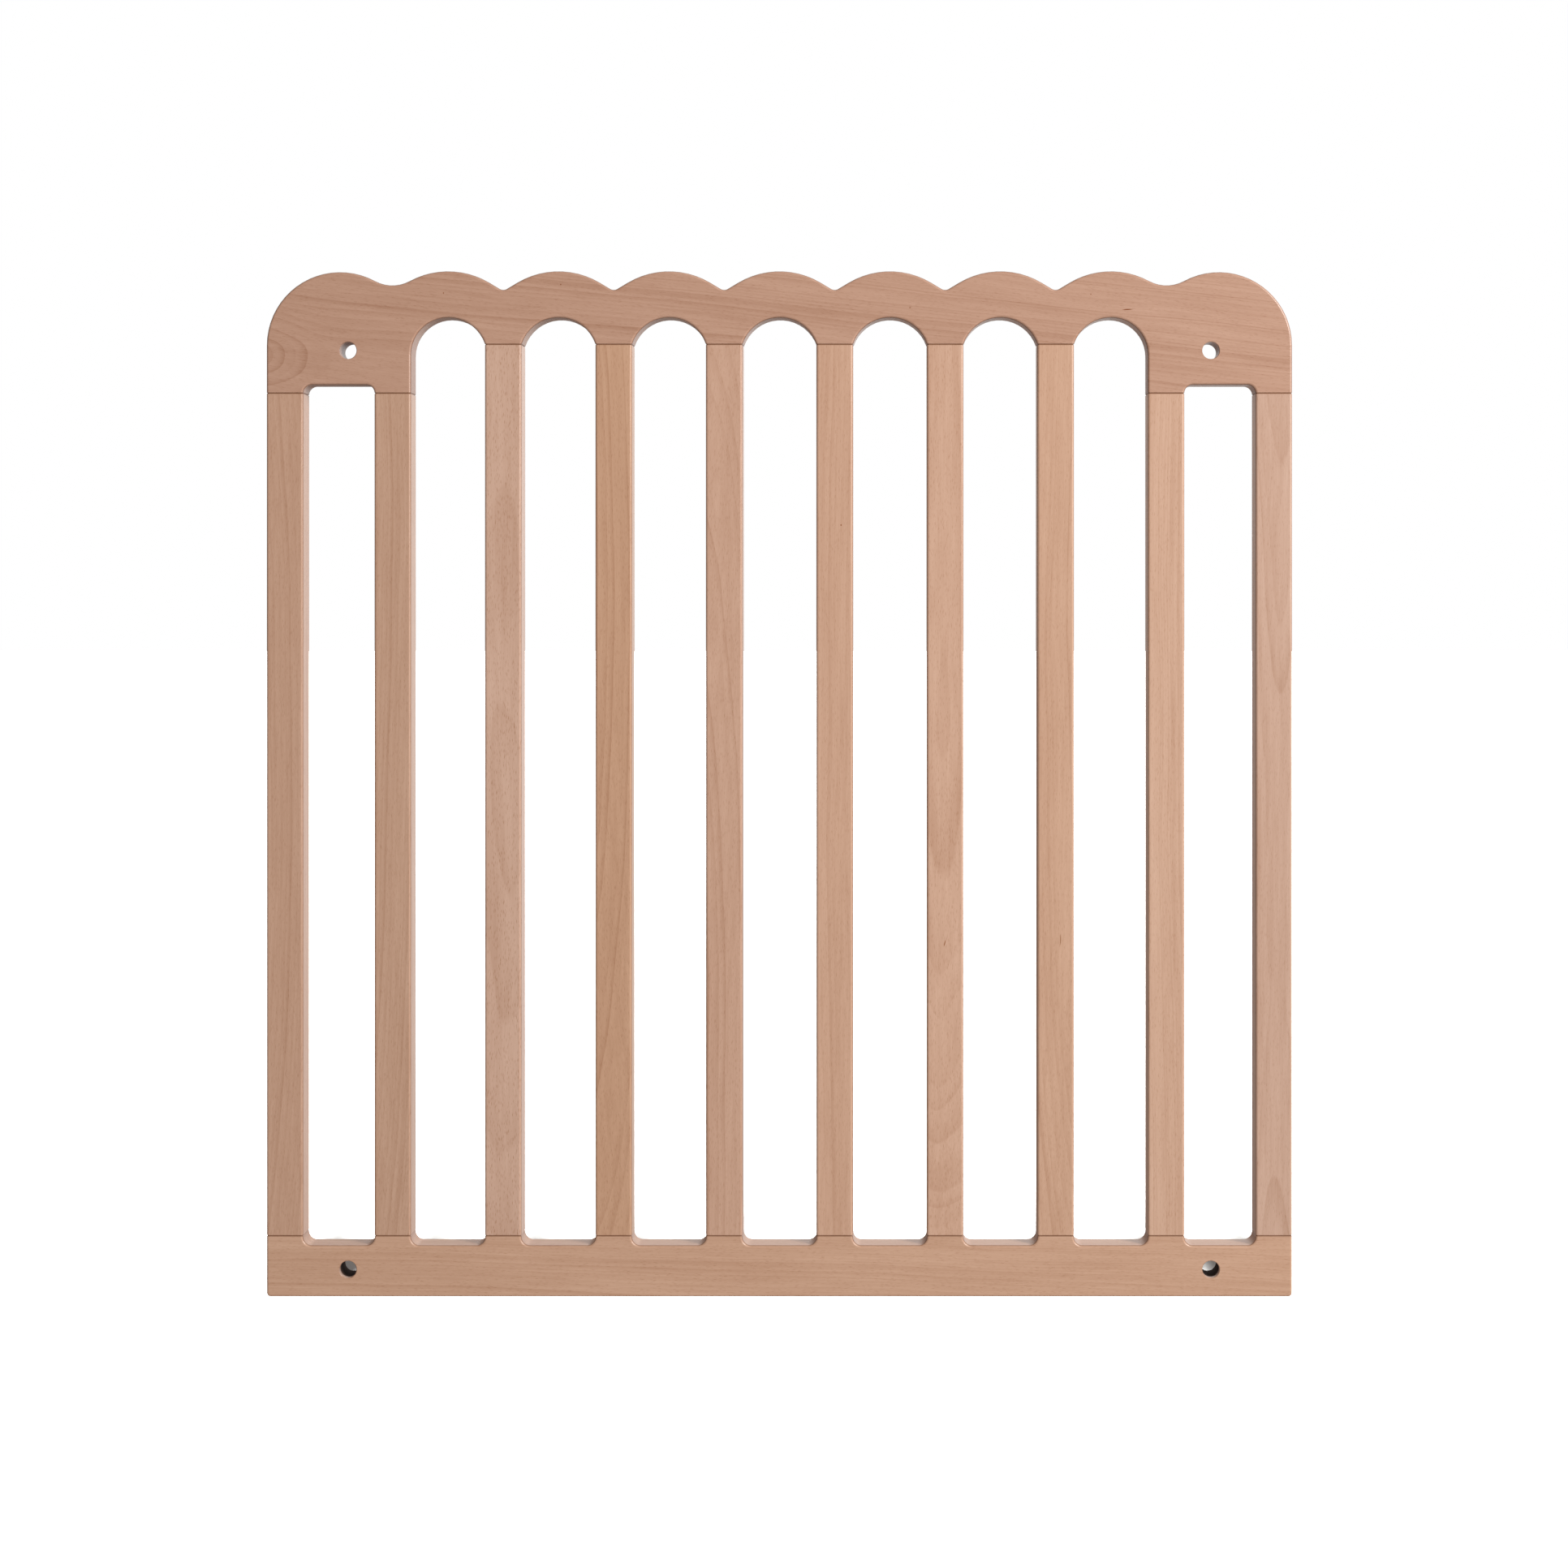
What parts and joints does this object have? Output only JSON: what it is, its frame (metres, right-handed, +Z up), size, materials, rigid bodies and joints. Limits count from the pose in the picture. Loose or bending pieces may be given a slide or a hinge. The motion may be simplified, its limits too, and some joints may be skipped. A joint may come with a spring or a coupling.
{
  "type": "safety baby gate",
  "caption": "Flat slatted beech gate panel with a scalloped top rail, arched gaps between its upright bars, and a round through hole near each corner.",
  "frame": {"origin": "middle of the bottom edge, halfway through the thickness", "axes": "+X across the panel to the right seen from the front, +Y through its thickness from front to back, +Z up"},
  "size_m": [0.84, 0.025, 0.84],
  "materials": {
    "rail_beech": "clear satin oil on sanded beech, grain along the rail",
    "bar_beech": "clear satin oil on sanded beech, grain along the bar",
    "dowel_beech": "raw turned beech, fluted, unfinished"
  },
  "bodies": {
    "root": {"top_rail": "rail_beech", "bottom_rail": "rail_beech", "left_post": "bar_beech", "slat_1": "bar_beech", "slat_2": "bar_beech", "slat_3": "bar_beech", "slat_4": "bar_beech", "slat_5": "bar_beech", "slat_6": "bar_beech", "slat_7": "bar_beech", "slat_8": "bar_beech", "right_post": "bar_beech", "dowel_left_post_bottom_1": "dowel_beech", "dowel_left_post_bottom_2": "dowel_beech", "dowel_left_post_top_1": "dowel_beech", "dowel_left_post_top_2": "dowel_beech", "dowel_slat_1_bottom_1": "dowel_beech", "dowel_slat_1_bottom_2": "dowel_beech", "dowel_slat_1_top_1": "dowel_beech", "dowel_slat_1_top_2": "dowel_beech", "dowel_slat_2_bottom_1": "dowel_beech", "dowel_slat_2_bottom_2": "dowel_beech", "dowel_slat_2_top_1": "dowel_beech", "dowel_slat_2_top_2": "dowel_beech", "dowel_slat_3_bottom_1": "dowel_beech", "dowel_slat_3_bottom_2": "dowel_beech", "dowel_slat_3_top_1": "dowel_beech", "dowel_slat_3_top_2": "dowel_beech", "dowel_slat_4_bottom_1": "dowel_beech", "dowel_slat_4_bottom_2": "dowel_beech", "dowel_slat_4_top_1": "dowel_beech", "dowel_slat_4_top_2": "dowel_beech", "dowel_slat_5_bottom_1": "dowel_beech", "dowel_slat_5_bottom_2": "dowel_beech", "dowel_slat_5_top_1": "dowel_beech", "dowel_slat_5_top_2": "dowel_beech", "dowel_slat_6_bottom_1": "dowel_beech", "dowel_slat_6_bottom_2": "dowel_beech", "dowel_slat_6_top_1": "dowel_beech", "dowel_slat_6_top_2": "dowel_beech", "dowel_slat_7_bottom_1": "dowel_beech", "dowel_slat_7_bottom_2": "dowel_beech", "dowel_slat_7_top_1": "dowel_beech", "dowel_slat_7_top_2": "dowel_beech", "dowel_slat_8_bottom_1": "dowel_beech", "dowel_slat_8_bottom_2": "dowel_beech", "dowel_slat_8_top_1": "dowel_beech", "dowel_slat_8_top_2": "dowel_beech", "dowel_right_post_bottom_1": "dowel_beech", "dowel_right_post_bottom_2": "dowel_beech", "dowel_right_post_top_1": "dowel_beech", "dowel_right_post_top_2": "dowel_beech"}
  },
  "joints": []
}
